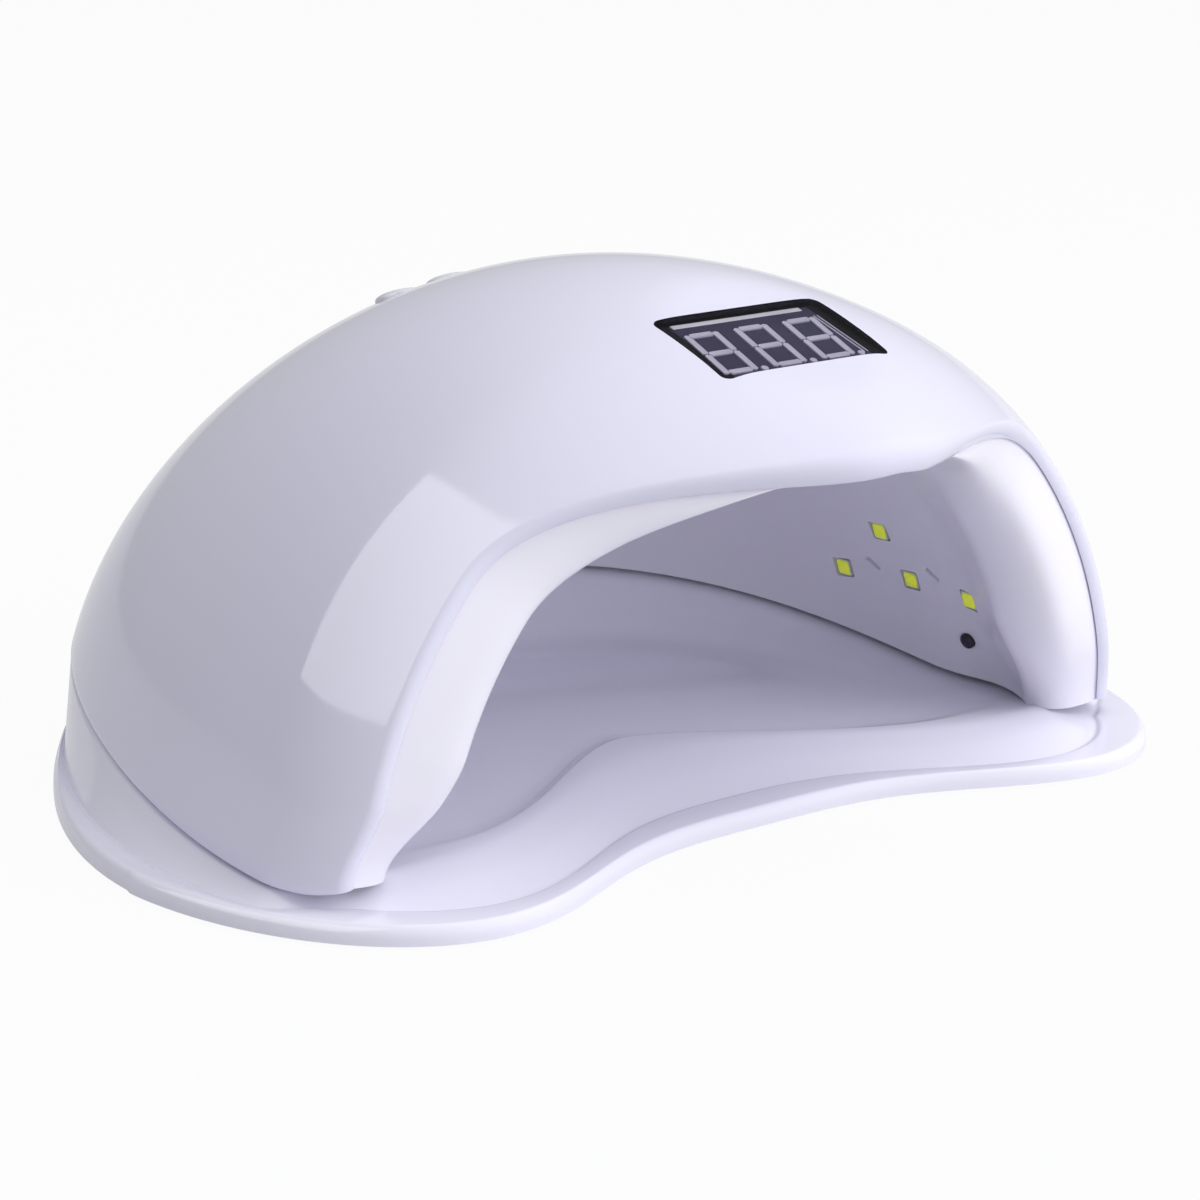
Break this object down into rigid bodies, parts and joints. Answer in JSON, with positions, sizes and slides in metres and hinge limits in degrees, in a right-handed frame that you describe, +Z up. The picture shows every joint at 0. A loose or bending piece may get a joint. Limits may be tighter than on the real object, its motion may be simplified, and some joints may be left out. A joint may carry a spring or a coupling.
{
  "type": "uv nail lamp",
  "caption": "Arch-shaped nail curing lamp: a domed gloss housing with a hand opening, a smoked digit window and push buttons, resting on a lift-off curved base tray.",
  "frame": {"origin": "middle of the footprint, at the floor", "axes": "+X to the user's right across the arch, -Y toward the hand opening, +Z up"},
  "size_m": [0.2074, 0.1656, 0.0907],
  "materials": {
    "shell_gloss": "gloss, pale lavender white",
    "liner_plastic": "satin gloss, pale lavender white",
    "base_plastic": "gloss, pale lavender white",
    "button_plastic": "satin, white",
    "window_smoked": "clear gloss, smoked",
    "module_plastic": "matt grey, pale segments",
    "board_green": "green circuit board",
    "led_resin": "yellow phosphor resin",
    "sensor_black": "dark gloss",
    "switch_black": "matt black",
    "screw_steel": "zinc plated",
    "magnet_nickel": "nickel plated",
    "foot_rubber": "matt dark grey"
  },
  "bodies": {
    "base": {"base_plate": "base_plastic", "base_magnet_1": "magnet_nickel", "base_magnet_2": "magnet_nickel", "base_magnet_3": "magnet_nickel", "base_magnet_4": "magnet_nickel", "rubber_foot_1": "foot_rubber", "rubber_foot_2": "foot_rubber", "rubber_foot_3": "foot_rubber", "rubber_foot_4": "foot_rubber"},
    "housing": {"outer_shell": "shell_gloss", "inner_liner": "liner_plastic", "display_window": "window_smoked", "display_module": "module_plastic", "display_board": "board_green", "tact_switch_1": "switch_black", "tact_switch_2": "switch_black", "tact_switch_3": "switch_black", "tact_switch_4": "switch_black", "control_board": "board_green", "board_screw_1": "screw_steel", "board_screw_2": "screw_steel", "led_board_left": "board_green", "led_board_right": "board_green", "led_board_top": "board_green", "led_left_1": "led_resin", "led_left_2": "led_resin", "led_left_3": "led_resin", "led_left_4": "led_resin", "led_right_1": "led_resin", "led_right_2": "led_resin", "led_right_3": "led_resin", "led_right_4": "led_resin", "led_top_1": "led_resin", "led_top_2": "led_resin", "led_top_3": "led_resin", "led_top_4": "led_resin", "led_top_5": "led_resin", "led_top_6": "led_resin", "sensor_emitter": "sensor_black", "sensor_receiver": "sensor_black", "power_board": "board_green", "dc_socket": "switch_black", "housing_screw_1": "screw_steel", "housing_screw_2": "screw_steel", "housing_screw_3": "screw_steel", "housing_screw_4": "screw_steel", "housing_magnet_1": "magnet_nickel", "housing_magnet_2": "magnet_nickel", "housing_magnet_3": "magnet_nickel", "housing_magnet_4": "magnet_nickel"},
    "button_10_seconds": {"button_10_seconds": "button_plastic"},
    "button_30_seconds": {"button_30_seconds": "button_plastic"},
    "button_60_seconds": {"button_60_seconds": "button_plastic"},
    "button_99_seconds": {"button_99_seconds": "button_plastic"}
  },
  "joints": [
    {"name": "housing_lift", "type": "slide", "parent": "base", "child": "housing", "axis": [0, 0, 1], "range_m": [0, 0.06]},
    {"name": "button_10_seconds_press", "type": "slide", "parent": "housing", "child": "button_10_seconds", "axis": [0, -0.3889, -0.9213], "range_m": [0, 0.0006], "stiffness_N_per_m": 2000},
    {"name": "button_30_seconds_press", "type": "slide", "parent": "housing", "child": "button_30_seconds", "axis": [0, -0.3889, -0.9213], "range_m": [0, 0.0006], "stiffness_N_per_m": 2000},
    {"name": "button_60_seconds_press", "type": "slide", "parent": "housing", "child": "button_60_seconds", "axis": [0, -0.3889, -0.9213], "range_m": [0, 0.0006], "stiffness_N_per_m": 2000},
    {"name": "button_99_seconds_press", "type": "slide", "parent": "housing", "child": "button_99_seconds", "axis": [0, -0.3889, -0.9213], "range_m": [0, 0.0006], "stiffness_N_per_m": 2000}
  ]
}
